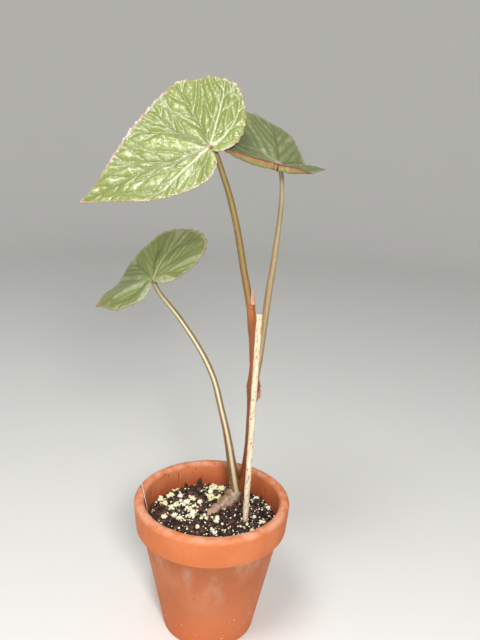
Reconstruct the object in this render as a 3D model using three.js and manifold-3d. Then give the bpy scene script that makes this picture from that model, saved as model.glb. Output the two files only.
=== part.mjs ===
// A young cane begonia in a 4 inch clay pot: three oblique leaves on long
// petioles, a short cane with one node, a chunky rhizome, a bamboo stake and a
// plain plant label, in a bark and perlite potting mix.
//
// Millimetres, +Z up. Everything is drawn about the pot's axis, with the foot
// of the pot at z = 0. The finished group is then shifted sideways, so that its
// origin is the middle of the plant's outline on the surface it stands on.

import * as THREE from 'three';
import { mergeVertices } from 'three/addons/utils/BufferGeometryUtils.js';
import Module from 'manifold-3d';

const wasm = await Module();
wasm.setup();

// ---------------------------------------------------------------- dimensions

const GAP = 0.3; // play between pieces that touch

// Outside, from the top down: a rounded rim, a band, a tapering body, a foot.
// Inside: a lip, the wall down to the mix and to the taper, a floor, a drain.
const POT = {
  rimRadius: 54, rimRound: 3.2, height: 100, bandBottom: 78.8, bandRadius: 52.5, bandRound: 0.8,
  bodyRadius: 48.6, footRadius: 32.6, footRound: 1, lipRadius: 46.9, lipRound: 3, soilRadius: 46,
  taperRadius: 43.6, taperHeight: 70, floor: 6, floorRadius: 28.5, floorRound: 1.9,
  drainRadius: 6.5, segments: 56,
};

const SOIL = { wallHeight: 82, crown: 3.6, recess: 9.5, recessMargin: 1, segments: 32 };

const STAKE = { foot: [22.4, -7.9, 24], top: [25.9, -7.9, 235.6], radius: 1.8, sides: 12 };

const LABEL = {
  width: 10, thickness: 0.9, point: 10,
  foot: [-39.8, 1, 58], top: [-45.6, 1, 106.5], across: [-0.19, 0.98, 0],
};

// A stem has [x, y, z, radius] stations along its centre line.
const RHIZOME = { sides: 12, steps: 14, stations: [
  [0.5, 6, 77, 2.2], [4, 9.5, 80, 4.6], [9, 14, 82.6, 6.2], [15, 20, 85, 7.2],
  [20, 24, 88, 6.9], [22.5, 26, 92, 4.6], [23.4, 26.6, 95, 1.6],
] };

const CANE = { sides: 12, steps: 40, stations: [
  [22.4, 22, 96.4, 4.6], [23.6, 21.4, 104, 4.3], [24.6, 21, 116, 3.5], [25, 20.7, 138, 2.9],
  [25.1, 20.6, 160, 2.9], [25.4, 20.5, 168, 3.6], [25.4, 20.4, 175, 4.3], [24.9, 20.3, 182, 3.1],
  [24.2, 20.3, 192, 2.2], [23.2, 20.2, 212, 2.1], [22.1, 20, 228, 2.3], [21.4, 20, 235, 2.3],
] };

const PETIOLE_1 = { sides: 10, steps: 28, stations: [
  [20.9, 19.8, 235.9, 2.1], [19.2, 18.8, 245, 2.1], [14.8, 17.2, 260, 2.0], [10.3, 14.3, 283, 1.9],
  [5.1, 11.5, 305.3, 1.75], [-1.3, 8.9, 326.5, 1.45], [-4.4, 7.6, 332.6, 1.3], [-8.6, 6.2, 336, 1.2],
] };

const PETIOLE_2 = { sides: 10, steps: 28, stations: [
  [26.6, 20.8, 172, 1.5], [28.9, 21.1, 182, 2.1], [30.4, 21.2, 201.3, 2.1], [32.9, 21.4, 236, 2.05],
  [35.3, 21.5, 260, 1.95], [37.2, 21.8, 288, 1.75], [37.6, 21.9, 305, 1.6], [36.9, 21.2, 318, 1.5],
  [35.1, 20.2, 325.8, 1.4],
] };

const PETIOLE_3 = { sides: 10, steps: 28, stations: [
  [17.6, 22.2, 92, 3.2], [16.4, 21.4, 99, 2.9], [13.3, 20, 115.5, 2.75], [8.9, 17.7, 138.7, 2.5],
  [3.7, 15.4, 161, 2.3], [-1.9, 13.1, 182.7, 2.1], [-11.2, 10.7, 203.4, 1.95], [-25.2, 7.6, 226.1, 1.7],
  [-38.4, 4.6, 243.8, 1.4], [-42.9, 3.4, 253.8, 1.2],
] };

const ROOTS = [
  [[3, 8, 78, 1.7], [-6, 2, 66, 1.5], [-14, -6, 50, 1.3], [-17, -9, 32, 1]],
  [[11, 18, 77, 1.8], [10, 22, 62, 1.6], [5, 25, 44, 1.3], [2, 24, 26, 1]],
  [[17, 22, 78, 1.8], [25, 18, 64, 1.5], [27, 9, 46, 1.3], [20, 8, 28, 1]],
  [[9, 12, 76, 1.6], [8, 2, 62, 1.4], [11, -7, 46, 1.2], [9, -13, 30, 1]],
].map((stations) => ({ sides: 8, steps: 10, stations }));

// Each blade leaves its petiole point along its midrib. "face" turns the plane
// of the blade: elevation and azimuth of its upper side (azimuth 0 looks along
// -Y), and the turn of the midrib within that plane. "outline" is the margin in
// that plane, from tip to tip, x along the midrib. "lifts" are
// [bearing from the midrib, spread, slope]: where a sector rises or sags.
const LEAF_1 = {
  at: [-9, 5, 336.7], elevation: 32, azimuth: -5, turn: 205.4, droop: 8, thickness: 0.8,
  lifts: [[-90, 50, -0.1]],
  outline: [
    [86, 1], [78, -2], [69, -8], [57, -18], [43, -29], [30, -38], [14, -47], [2, -52], [-9, -49],
    [-20, -46], [-30, -35], [-30, -22], [-25, -6], [-16, 4], [-6, 6], [-1, 4], [-1, 6], [0, 12],
    [7, 19], [19, 22], [35, 21], [50, 17], [63, 11], [77, 5],
  ],
};

const LEAF_2 = {
  at: [34.9, 20, 327.2], elevation: 71.7, azimuth: 25, turn: -55, droop: 0, thickness: 0.8,
  lifts: [[134, 45, 0.28], [-141, 50, 0.17], [0, 28, 0.2], [55, 14, -0.25]],
  outline: [
    [32, 1], [27, 7], [22, 12], [16, 17], [10, 20], [4, 23], [-3, 29], [-9, 33], [-18, 33],
    [-28, 31], [-37, 30], [-44, 26], [-50, 18], [-51, 7], [-47, -6], [-38, -18], [-27, -27],
    [-13, -27], [-1, -20], [5, -16], [6, -13], [3, -5], [9, -12], [15, -10], [23, -7],
  ],
};

const LEAF_3 = {
  at: [-43.2, 3, 254.3], elevation: 45, azimuth: -40, turn: 219, droop: 4, thickness: 0.7,
  lifts: [[-35, 20, -0.3]],
  outline: [
    [45, 0], [41, -7], [39, -16], [32, -23], [23, -25], [13, -25], [3, -29], [-9, -35], [-21, -32],
    [-32, -25], [-39, -16], [-39, -7], [-34, 1], [-25, 7], [-16, 10], [-8, 9], [-2, 5], [0, 2],
    [1, 6], [3, 11], [9, 15], [18, 15], [26, 14], [33, 9], [40, 3],
  ],
};

const BLADE = { rings: 5, spokesPerPoint: 2 };

// ------------------------------------------------------------------ materials

const finish = (color, roughness) => new THREE.MeshStandardMaterial({ color, roughness, metalness: 0 });

const COLOUR = {
  clay: 0xd98a5c, soil: 0x3a2a22, rhizome: 0x8a6a52, root: 0xb89a78, cane: 0xb0703c,
  petiole: 0xb89452, oldPetiole: 0x8f7a45, stipule: 0xe0a08a, leaf: 0x93a85c, darkLeaf: 0x7d8c58,
  bamboo: 0xf0e3c4, label: 0xf2f2f0, perlite: 0xf3efdc, bark: 0x6b4330,
};

// -------------------------------------------------------------------- helpers

const vec = (p) => new THREE.Vector3(p[0], p[1], p[2]);

function bare(geometry) {
  const copy = geometry.clone();
  copy.deleteAttribute('normal');
  copy.deleteAttribute('uv');
  return mergeVertices(copy, 1e-4);
}

// Turns a closed geometry's faces outwards if a mirrored warp turned them in.
function outward(geometry) {
  const closed = bare(geometry);
  const p = closed.attributes.position;
  const index = closed.index.array;
  const [a, b, c] = [new THREE.Vector3(), new THREE.Vector3(), new THREE.Vector3()];
  let volume = 0;
  for (let i = 0; i < index.length; i += 3) {
    a.fromBufferAttribute(p, index[i]);
    b.fromBufferAttribute(p, index[i + 1]);
    c.fromBufferAttribute(p, index[i + 2]);
    volume += a.dot(b.cross(c));
  }
  if (volume < 0) {
    for (let i = 0; i < index.length; i += 3) [index[i], index[i + 1]] = [index[i + 1], index[i]];
  }
  return closed;
}

function toSolid(geometry) {
  const closed = outward(geometry);
  return new wasm.Manifold(new wasm.Mesh({
    numProp: 3,
    vertProperties: new Float32Array(closed.attributes.position.array),
    triVerts: new Uint32Array(closed.index.array),
  }));
}

function fromSolid(solid) {
  const mesh = solid.getMesh();
  const geometry = new THREE.BufferGeometry();
  geometry.setAttribute('position', new THREE.BufferAttribute(new Float32Array(mesh.vertProperties), 3));
  geometry.setIndex(new THREE.BufferAttribute(new Uint32Array(mesh.triVerts), 1));
  return geometry;
}

// Cuts the tools out of a piece and keeps its largest remaining body.
function cut(geometry, ...tools) {
  const whole = tools.reduce((rest, tool) => rest.subtract(toSolid(tool)), toSolid(geometry));
  const bodies = whole.decompose().sort((a, b) => b.volume() - a.volume());
  return fromSolid(bodies[0]);
}

const group = new THREE.Group();

function add(name, geometry, color, roughness) {
  const mesh = new THREE.Mesh(geometry, finish(color, roughness));
  mesh.name = name;
  group.add(mesh);
}

// A stem is a cylinder bent along a smooth curve through its stations. "grow"
// fattens it and lengthens its ends, for cutting its seat in a neighbour.
function stem({ stations, sides, steps }, grow = 0) {
  const points = stations.map(vec);
  if (grow > 0) {
    const last = points.length - 1;
    const reach = (end, next) => end.clone().sub(next).setLength(grow);
    points[0].add(reach(points[0], points[1]));
    points[last].add(reach(points[last], points[last - 1]));
  }
  const route = new THREE.CatmullRomCurve3(points, false, 'centripetal');
  const frames = route.computeFrenetFrames(steps);
  const radiusAt = (t) => {
    const place = t * (stations.length - 1);
    const i = Math.min(Math.floor(place), stations.length - 2);
    return THREE.MathUtils.lerp(stations[i][3], stations[i + 1][3], place - i) + grow;
  };
  const geometry = new THREE.CylinderGeometry(1, 1, 1, sides, steps);
  const p = geometry.attributes.position;
  const v = new THREE.Vector3();
  for (let i = 0; i < p.count; i += 1) {
    v.fromBufferAttribute(p, i);
    const step = Math.round((v.y + 0.5) * steps);
    const t = step / steps;
    const radius = radiusAt(route.getUtoTmapping(t));
    const centre = route.getPointAt(t);
    centre.addScaledVector(frames.normals[step], v.x * radius);
    centre.addScaledVector(frames.binormals[step], v.z * radius);
    p.setXYZ(i, centre.x, centre.y, centre.z);
  }
  return outward(geometry);
}

// ------------------------------------------------------------------------ pot

// A quarter turn of a rounded edge, from one bearing to the next.
function rounded(centreRadius, centreHeight, round, quarter) {
  return [0, 1, 2, 3].map((step) => {
    const angle = (quarter + step / 3) * (Math.PI / 2);
    return [centreRadius + round * Math.cos(angle), centreHeight + round * Math.sin(angle)];
  });
}

function potProfile() {
  const { rimRound, bandBottom, bandRadius, bandRound, footRadius, footRound } = POT;
  const { lipRound, floor, floorRadius, floorRound, drainRadius } = POT;
  const points = [
    [drainRadius, 0], [footRadius - footRound, 0], [footRadius, footRound],
    [POT.bodyRadius, bandBottom - bandRound], [bandRadius - bandRound, bandBottom],
    [bandRadius, bandBottom + bandRound],
    ...rounded(POT.rimRadius - rimRound, POT.height - rimRound, rimRound, 0),
    ...rounded(POT.lipRadius + lipRound, POT.height - lipRound, lipRound, 1),
    [POT.soilRadius, SOIL.wallHeight], [POT.taperRadius, POT.taperHeight],
    [floorRadius, floor + floorRound], [floorRadius - floorRound, floor],
    [drainRadius, floor], [drainRadius, 0],
  ];
  return points.map(([r, z]) => new THREE.Vector2(r, z));
}

function pot() {
  const geometry = new THREE.LatheGeometry(potProfile(), POT.segments);
  geometry.rotateX(Math.PI / 2);
  return outward(geometry);
}

// ----------------------------------------------------------------------- soil

const soilHeight = (x, y) => {
  const reach = Math.min(Math.hypot(x, y) / POT.soilRadius, 1);
  return SOIL.wallHeight + SOIL.crown * (1 - reach * reach);
};

// The mix fills the pot to just clear of its wall and floor, and leaves a small
// hollow over the drain hole.
function soilBlank() {
  const { floor, floorRadius, floorRound, soilRadius } = POT;
  const crown = [1, 0.85, 0.6, 0.3, 0].map((t) => {
    const r = t * (soilRadius - GAP);
    return [r, soilHeight(r, 0)];
  });
  const recessRadius = POT.drainRadius + SOIL.recessMargin;
  const points = [
    [0, SOIL.recess], [recessRadius, SOIL.recess], [recessRadius, floor + GAP],
    [floorRadius - floorRound - GAP, floor + GAP], [floorRadius - GAP, floor + floorRound + GAP],
    [POT.taperRadius - GAP, POT.taperHeight], ...crown,
  ];
  const profile = points.map(([r, z]) => new THREE.Vector2(r, z));
  const geometry = new THREE.LatheGeometry(profile, SOIL.segments);
  geometry.rotateX(Math.PI / 2);
  return geometry;
}

// ------------------------------------------------------------- stake and label

function stake(grow = 0) {
  const [foot, top] = [vec(STAKE.foot), vec(STAKE.top)];
  const axis = top.clone().sub(foot);
  const radius = STAKE.radius + grow;
  const geometry = new THREE.CylinderGeometry(radius, radius, axis.length() + 2 * grow, STAKE.sides);
  geometry.applyQuaternion(new THREE.Quaternion().setFromUnitVectors(
    new THREE.Vector3(0, 1, 0), axis.clone().normalize()));
  geometry.translate(...foot.add(top).multiplyScalar(0.5).toArray());
  return geometry;
}

// A flat strip with one pointed end, pushed into the mix along the pot's wall.
function label(grow = 0) {
  const [foot, top] = [vec(LABEL.foot), vec(LABEL.top)];
  const length = foot.distanceTo(top);
  const half = LABEL.width / 2 + grow;
  const outline = new THREE.Shape();
  outline.moveTo(0, -grow);
  outline.lineTo(half, LABEL.point);
  outline.lineTo(half, length + grow);
  outline.lineTo(-half, length + grow);
  outline.lineTo(-half, LABEL.point);
  outline.closePath();
  const depth = LABEL.thickness + 2 * grow;
  const geometry = new THREE.ExtrudeGeometry(outline, { depth, bevelEnabled: false });
  geometry.translate(0, 0, -depth / 2);
  const along = top.clone().sub(foot).normalize();
  const across = vec(LABEL.across).projectOnPlane(along).normalize();
  const through = across.clone().cross(along);
  geometry.applyMatrix4(new THREE.Matrix4().makeBasis(across, along, through));
  geometry.translate(...LABEL.foot);
  return geometry;
}

// --------------------------------------------------------------------- leaves

function bladeFrame(leaf) {
  const radians = THREE.MathUtils.degToRad;
  const [el, az, turn] = [radians(leaf.elevation), radians(leaf.azimuth), radians(leaf.turn)];
  const up = new THREE.Vector3(
    Math.sin(az) * Math.cos(el), -Math.cos(az) * Math.cos(el), Math.sin(el));
  const level = new THREE.Vector3(0, 0, 1).cross(up).normalize();
  const slope = up.clone().cross(level);
  const midrib = level.multiplyScalar(Math.cos(turn)).addScaledVector(slope, Math.sin(turn));
  const side = up.clone().cross(midrib);
  return { midrib, side, up };
}

function bladeHeight(leaf, x, y) {
  const bearing = THREE.MathUtils.radToDeg(Math.atan2(y, x));
  let slope = 0;
  for (const [centre, spread, rise] of leaf.lifts) {
    const away = THREE.MathUtils.euclideanModulo(bearing - centre + 180, 360) - 180;
    slope += rise * Math.exp(-((away / spread) ** 2));
  }
  const tip = leaf.outline[0][0];
  return Math.hypot(x, y) * slope - leaf.droop * (Math.max(x, 0) / tip) ** 2;
}

// A blade is a disc of rings and spokes, stretched so that its rim follows the
// margin and its face follows the lie of the leaf. Its upper side is the true
// surface, and its thickness lies below it.
function blade(leaf, grow = 0) {
  const { midrib, side, up } = bladeFrame(leaf);
  const margin = leaf.outline.map(([x, y]) => new THREE.Vector2(x, y));
  margin.push(margin[0].clone());
  const spokes = (margin.length - 1) * BLADE.spokesPerPoint;
  const rim = new THREE.SplineCurve(margin).getPoints(spokes);
  const ring = [...Array(BLADE.rings + 1).keys()].map((i) => i / BLADE.rings);
  const [top, bottom] = [grow, -leaf.thickness - grow];
  const profile = [
    ...ring.map((t) => new THREE.Vector2(t, top)),
    ...ring.reverse().map((t) => new THREE.Vector2(t, bottom)),
  ];
  const geometry = new THREE.LatheGeometry(profile, spokes);
  const p = geometry.attributes.position;
  const rings = profile.length;
  for (let i = 0; i < p.count; i += 1) {
    const spoke = Math.floor(i / rings);
    const t = Math.hypot(p.getX(i), p.getZ(i));
    const [x, y] = [rim[spoke].x * t, rim[spoke].y * t];
    const place = vec(leaf.at).addScaledVector(midrib, x).addScaledVector(side, y);
    place.addScaledVector(up, p.getY(i) + bladeHeight(leaf, x, y));
    p.setXYZ(i, place.x, place.y, place.z);
  }
  return outward(geometry);
}

// ------------------------------------------------------------------- stipules

const STIPULES = {
  upper_stipule: { at: [23, 18.2, 233.6], lean: [0.07, -0.02, 1], length: 11.5, radius: 1.7, flat: 0.45 },
  node_stipule: { at: [29.6, 18.2, 170.6], lean: [0.1, -0.05, 1], length: 8, radius: 1.6, flat: 0.5 },
};

// A stipule is a dry, pointed scale that clasps the cane at a node.
function stipule({ at, lean, length, radius, flat }) {
  const outline = [[0, 0], [0.6, 0.02], [1, 0.2], [0.85, 0.5], [0.4, 0.85], [0, 1]];
  const profile = outline.map(([r, z]) => new THREE.Vector2(r * radius, z * length));
  const geometry = new THREE.LatheGeometry(profile, 8);
  geometry.scale(1, 1, flat);
  geometry.applyQuaternion(new THREE.Quaternion().setFromUnitVectors(
    new THREE.Vector3(0, 1, 0), vec(lean).normalize()));
  geometry.translate(...at);
  return geometry;
}

// -------------------------------------------------------------- loose grains

// "size" is the radius before squashing, "tip" how far a grain may be tipped
// over, in radians, and "start" shifts its kind's places outwards.
const GRAINS = {
  perlite: { count: 16, size: [1.7, 3.1], squash: [1, 0.85, 0.75], tip: 1.3, start: 0.35 },
  bark: { count: 10, size: [2.6, 3.8], squash: [1, 0.62, 0.34], tip: 0.4, start: 0.62 },
};
const GRAIN_FIELD = 40; // radius of the mix that larger grains lie on
const GRAIN_TRIES = 400;
const GRAIN_ROUGHNESS = 0.9;

// Steps that spread the places, the reaches and the sizes without a pattern.
const GOLDEN_ANGLE = Math.PI * (3 - Math.sqrt(5));
const REACH_STEP = 0.271;
const SIZE_STEP = 0.618;

// Ground that the plant, the stake and the label already stand on: [x, y, radius].
const TAKEN = [[8, 13, 13], [18, 22, 14], [23.5, -7.9, 4], [-44, 1, 11]];

// A grain settles until its lowest corner is just clear of the mix.
function grain(kind, size, x, y, spin) {
  const { squash, tip } = GRAINS[kind];
  const geometry = new THREE.IcosahedronGeometry(size, 0);
  geometry.scale(...squash);
  geometry.rotateX(tip * Math.sin(spin * 2));
  geometry.rotateZ(spin);
  geometry.translate(x, y, 0);
  const p = geometry.attributes.position;
  let drop = Infinity;
  for (let i = 0; i < p.count; i += 1) {
    drop = Math.min(drop, p.getZ(i) - soilHeight(p.getX(i), p.getY(i)));
  }
  geometry.translate(0, 0, GAP - drop);
  return geometry;
}

function scatterGrains() {
  const taken = TAKEN.map((spot) => [...spot]);
  const made = { perlite: 0, bark: 0 };
  const wanted = GRAINS.perlite.count + GRAINS.bark.count;
  for (let i = 1; made.perlite + made.bark < wanted && i < GRAIN_TRIES; i += 1) {
    const kind = i % 3 === 0 ? 'bark' : 'perlite';
    const { count, size, start } = GRAINS[kind];
    const radius = THREE.MathUtils.lerp(size[0], size[1], (i * SIZE_STEP) % 1);
    const reach = GRAIN_FIELD * Math.sqrt((start + i * REACH_STEP) % 1);
    const angle = i * GOLDEN_ANGLE;
    const [x, y] = [reach * Math.cos(angle), reach * Math.sin(angle)];
    const free = taken.every(([cx, cy, r]) => Math.hypot(x - cx, y - cy) > r + radius + GAP);
    if (!free || made[kind] === count) continue;
    taken.push([x, y, radius]);
    made[kind] += 1;
    const name = `${kind}_grain_${String(made[kind]).padStart(2, '0')}`;
    add(name, grain(kind, radius, x, y, angle), COLOUR[kind], GRAIN_ROUGHNESS);
  }
}

// ------------------------------------------------------------------- assembly

add('terracotta_pot', pot(), COLOUR.clay, 0.85);

const buried = [
  stem(RHIZOME, GAP), stake(GAP), label(GAP), ...ROOTS.map((root) => stem(root, GAP)),
];
add('potting_soil', cut(soilBlank(), ...buried), COLOUR.soil, 0.95);

add('rhizome', stem(RHIZOME), COLOUR.rhizome, 0.7);
ROOTS.forEach((root, i) => {
  add(`root_${i + 1}`, cut(stem(root), stem(RHIZOME, GAP)), COLOUR.root, 0.8);
});

add('main_cane', cut(stem(CANE), stem(RHIZOME, GAP)), COLOUR.cane, 0.5);

// Each petiole is cut to sit on the wood below it and under its own blade.
const wood = [stem(RHIZOME, GAP), stem(CANE, GAP)];
add('petiole_1', cut(stem(PETIOLE_1), ...wood, blade(LEAF_1, GAP)), COLOUR.petiole, 0.5);
add('petiole_2', cut(stem(PETIOLE_2), ...wood, blade(LEAF_2, GAP)), COLOUR.petiole, 0.5);
add('petiole_3', cut(stem(PETIOLE_3), ...wood, blade(LEAF_3, GAP)), COLOUR.oldPetiole, 0.5);

add('leaf_1', blade(LEAF_1), COLOUR.leaf, 0.35);
add('leaf_2', blade(LEAF_2), COLOUR.darkLeaf, 0.4);
add('leaf_3', blade(LEAF_3), COLOUR.darkLeaf, 0.45);

const clasped = [stem(CANE, GAP), stem(PETIOLE_1, GAP), stem(PETIOLE_2, GAP)];
for (const [name, scale] of Object.entries(STIPULES)) {
  add(name, cut(stipule(scale), ...clasped), COLOUR.stipule, 0.6);
}

add('bamboo_stake', stake(), COLOUR.bamboo, 0.6);
add('plant_label', label(), COLOUR.label, 0.4);
scatterGrains();

const box = new THREE.Box3().setFromObject(group);
const centre = box.getCenter(new THREE.Vector3());
group.position.set(-centre.x, -centre.y, 0);

export default group;
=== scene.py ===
# %% [markdown]
# # A young cane begonia in a clay pot
#
# This script builds the looks of a potted begonia around a finished model of
# its pieces. The model says where each piece is and how big it is. Blender
# gives each one its fine shape and its finish.
#
# Lengths are written in millimetres, as a grower would measure them, and MM
# turns them into Blender's metres. Most places are measured from the pot's
# own axis at its foot, because every piece of the plant was measured there.

# %% The finished pieces
import math
import random

import bmesh
import bpy
from mathutils import Matrix, Vector, noise
from mathutils.kdtree import KDTree


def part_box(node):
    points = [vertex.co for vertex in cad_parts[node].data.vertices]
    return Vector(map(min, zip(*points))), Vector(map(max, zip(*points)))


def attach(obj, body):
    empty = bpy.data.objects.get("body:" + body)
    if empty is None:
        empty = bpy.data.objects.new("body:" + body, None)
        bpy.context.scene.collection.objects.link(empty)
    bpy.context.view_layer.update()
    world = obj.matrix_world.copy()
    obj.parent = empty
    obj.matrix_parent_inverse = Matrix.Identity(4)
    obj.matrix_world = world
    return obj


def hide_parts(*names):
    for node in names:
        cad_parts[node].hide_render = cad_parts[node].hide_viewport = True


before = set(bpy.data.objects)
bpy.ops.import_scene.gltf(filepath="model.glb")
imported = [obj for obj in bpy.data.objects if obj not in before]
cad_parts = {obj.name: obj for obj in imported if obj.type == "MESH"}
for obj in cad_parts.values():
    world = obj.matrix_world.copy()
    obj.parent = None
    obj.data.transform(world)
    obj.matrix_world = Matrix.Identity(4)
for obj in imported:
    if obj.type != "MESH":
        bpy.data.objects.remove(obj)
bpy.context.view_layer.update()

MM = 0.001
pot_low, pot_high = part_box("terracotta_pot")
POT_AXIS = Vector(((pot_low.x + pot_high.x) / 2, (pot_low.y + pot_high.y) / 2, 0))
print("pieces", len(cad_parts), "pot axis at", [round(c, 4) for c in POT_AXIS])

# %% [markdown]
# ## Small tools
#
# A colour is easiest to pick as a hex code, which is how a screen shows it.
# Shaders work in linear light, so one function turns the code over.

# %% Colours
def colour(code):
    """An sRGB hex code as the linear red, green, blue and alpha of a shader."""
    parts = [int(code[i:i + 2], 16) / 255 for i in (1, 3, 5)]
    linear = [p / 12.92 if p <= 0.04045 else ((p + 0.055) / 1.055) ** 2.4 for p in parts]
    return (*linear, 1.0)


# %% [markdown]
# Every finish is a Principled shader. What is the same all over a surface is
# set on the shader itself, and only what changes from place to place comes
# from nodes. A finish is built up as a painter would do it: a base colour, then
# coats of other colours, each where its masks let it show, and relief that
# catches the light. One function adds a node with its settings and its links.
#
# Patterns are drawn at real sizes. A noise texture of scale 1 has spots about
# a metre apart, so spots of 2 mm need a scale of 1 / 0.002. Where a pattern is
# squeezed, by a share under 1, its spots are drawn out along that axis.

# %% A finish and its coats
COLOUR_IN = 6  # a Mix node's first colour; its second is 7
COLOUR_OUT = 2


def spots_of(size_mm):
    """The scale of a texture whose spots are this far apart."""
    return 1 / (size_mm * MM)


class Finish:
    """A Principled finish, built up in coats."""

    def __init__(self, name, base, follows=None, **even):
        """Patterns follow the named attribute, or else the object's own coordinates. The even
        values are the same all over the surface."""
        self.material = bpy.data.materials.new(name)
        self.material.use_nodes = True
        self.tree = self.material.node_tree
        self.shader = self.tree.nodes["Principled BSDF"]
        self.shader.inputs["Base Color"].default_value = colour(base)
        for socket, value in even.items():
            self.shader.inputs[socket.replace("_", " ")].default_value = value
        self.tint, self.normal = base, None
        if follows:
            self.place = self.node("ShaderNodeAttribute", attribute_name=follows).outputs["Vector"]
        else:
            self.place = self.node("ShaderNodeTexCoord").outputs["Object"]

    def node(self, kind, links=None, **settings):
        """Adds a node. A link is a socket's name or number, with a value, a hex colour or
        another node's output."""
        made = self.tree.nodes.new(kind)
        for name, value in settings.items():
            setattr(made, name, value)
        for socket, value in (links or {}).items():
            if isinstance(value, bpy.types.NodeSocket):
                self.tree.links.new(value, made.inputs[socket])
            else:
                made.inputs[socket].default_value = colour(value) if isinstance(value, str) else value
        return made

    def cloud(self, size_mm, detail=3.0, squeeze=None):
        """Noise with spots of a real size."""
        place = self.place
        if squeeze:
            place = self.node("ShaderNodeMapping", {"Vector": place, "Scale": squeeze}).outputs[0]
        links = {"Vector": place, "Scale": spots_of(size_mm), "Detail": detail}
        return self.node("ShaderNodeTexNoise", links).outputs["Fac"]

    def spots(self, size_mm, low, high, detail=3.0, squeeze=None):
        """A soft mask of spots, 0 where the noise is under low and 1 where it is over high."""
        links = {"Value": self.cloud(size_mm, detail, squeeze), "From Min": low, "From Max": high}
        return self.node("ShaderNodeMapRange", links, interpolation_type="SMOOTHSTEP").outputs["Result"]

    def where(self, *masks):
        """Several masks as one, multiplied. Each is a node's output, a number that weakens the
        rest, or (value, start, end) for an even slope from 0 at the start to 1 at the end."""
        result = None
        for mask in masks:
            if isinstance(mask, tuple):
                slope = dict(zip(("Value", "From Min", "From Max"), mask))
                mask = self.node("ShaderNodeMapRange", slope).outputs["Result"]
            if result is not None:
                mask = self.node("ShaderNodeMath", {0: result, 1: mask}, operation="MULTIPLY").outputs[0]
            result = mask
        return result

    def coat(self, paint, *masks):
        """Lays a colour over those that are there, where all the masks are 1."""
        links = {0: self.where(*masks), COLOUR_IN: self.tint, COLOUR_IN + 1: paint}
        self.tint = self.node("ShaderNodeMix", links, data_type="RGBA").outputs[COLOUR_OUT]
        self.tree.links.new(self.tint, self.shader.inputs["Base Color"])

    def relief(self, height, depth_mm, strength=0.6):
        """Lets a pattern catch the light as relief of this depth, over any that is there."""
        links = {"Height": height, "Distance": depth_mm * MM, "Strength": strength}
        if self.normal is not None:
            links["Normal"] = self.normal
        self.normal = self.node("ShaderNodeBump", links).outputs["Normal"]
        for socket in ("Normal", "Coat Normal"):
            self.tree.links.new(self.normal, self.shader.inputs[socket])


# %% [markdown]
# ## Making a piece of a mesh
#
# Each shape is made as a bmesh, which is a mesh that is still on the bench.
# Its faces are turned outwards, it becomes an object, and the CAD pieces that
# it stands for are hidden. All of the plant stays together, so everything
# rides on the one body, "root".

# %% From bench to piece
def in_scene(name, data):
    """A new object of this data, in the scene."""
    made = bpy.data.objects.new(name, data)
    bpy.context.scene.collection.objects.link(made)
    return made


def off_bench(name, bench, finishes, smooth=True):
    """Makes an object of a bmesh."""
    mesh = bpy.data.meshes.new(name)
    bench.to_mesh(mesh)
    bench.free()
    for finish in finishes:
        mesh.materials.append(finish)
    if smooth:
        mesh.shade_smooth()
    return in_scene(name, mesh)


def piece(name, bench, finishes, stands_for, smooth=True, turned_out=True):
    """Makes a finished object of a bmesh, and puts it in place of CAD nodes."""
    if turned_out:
        bmesh.ops.recalc_face_normals(bench, faces=bench.faces)
    made = off_bench(name, bench, finishes, smooth)
    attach(made, "root")
    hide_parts(*stands_for)
    sides = [round(side / MM) for side in made.dimensions]
    print(f"{name}: {len(made.data.polygons)} faces, {sides} mm")
    return made


def turned(outline, steps):
    """Spins an outline of (radius, height) points about the pot's axis, as on a potter's wheel."""
    bench = bmesh.new()
    points = [bench.verts.new((radius * MM, 0, height * MM)) for radius, height in outline]
    lines = [bench.edges.new(pair) for pair in zip(points, points[1:])]
    bmesh.ops.spin(bench, geom=points + lines, cent=(0, 0, 0), axis=(0, 0, 1), dvec=(0, 0, 0),
                   angle=math.tau, steps=steps, use_merge=True, use_duplicate=False)
    bmesh.ops.remove_doubles(bench, verts=bench.verts, dist=0.01 * MM)
    bmesh.ops.translate(bench, verts=bench.verts, vec=POT_AXIS)
    return bench


def arc(radius, height, round_mm, start, end, steps=6):
    """Points of a rounded edge about (radius, height), from one angle in degrees to another."""
    angles = [math.radians(start + (end - start) * i / steps) for i in range(steps + 1)]
    return [(radius + round_mm * math.cos(a), height + round_mm * math.sin(a)) for a in angles]


# %% [markdown]
# ## Camera
#
# The camera stands where the photograph's stood, a forearm's length in front
# of the plant and level with its top leaf. It looks down by 17 degrees and
# leans over slightly, which a hand-held camera does.

# %% Camera
CAMERA_PLACE = Vector((0, -433.6, 360.8))  # from the pot's axis at its foot
LENS = 39.56
LOOKS_DOWN, LOOKS_RIGHT, LEANS = (math.radians(a) for a in (16.93, 1.845, 2.54))

camera = in_scene("camera", bpy.data.cameras.new("camera"))
camera.data.lens = LENS
camera.data.sensor_width = 36
camera.data.clip_start = 0.01
camera.matrix_world = (
    Matrix.Translation(POT_AXIS + CAMERA_PLACE * MM)
    @ Matrix.Rotation(-LOOKS_RIGHT, 4, "Z")
    @ Matrix.Rotation(math.pi / 2 - LOOKS_DOWN, 4, "X")
    @ Matrix.Rotation(LEANS, 4, "Z"))
bpy.context.scene.camera = camera
print("camera", [round(c, 3) for c in camera.matrix_world.translation])

# %% [markdown]
# ## Floor and light
#
# The plant stands on a pale floor that curves up into a pale wall all the way
# round, like a photographer's sweep, so no horizon shows from any side. A
# soft key light hangs over the camera's shoulder, because a leaf's gloss shows
# when the light and the eye are on the same side. A broad light above and a
# faint one on the left fill the rest.

# %% The sweep
FLOOR, CURVE, WALL = 1300, 600, 1900  # the flat floor's radius, the curve's, and the wall's height
SWEEP_STEPS = 96

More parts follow.
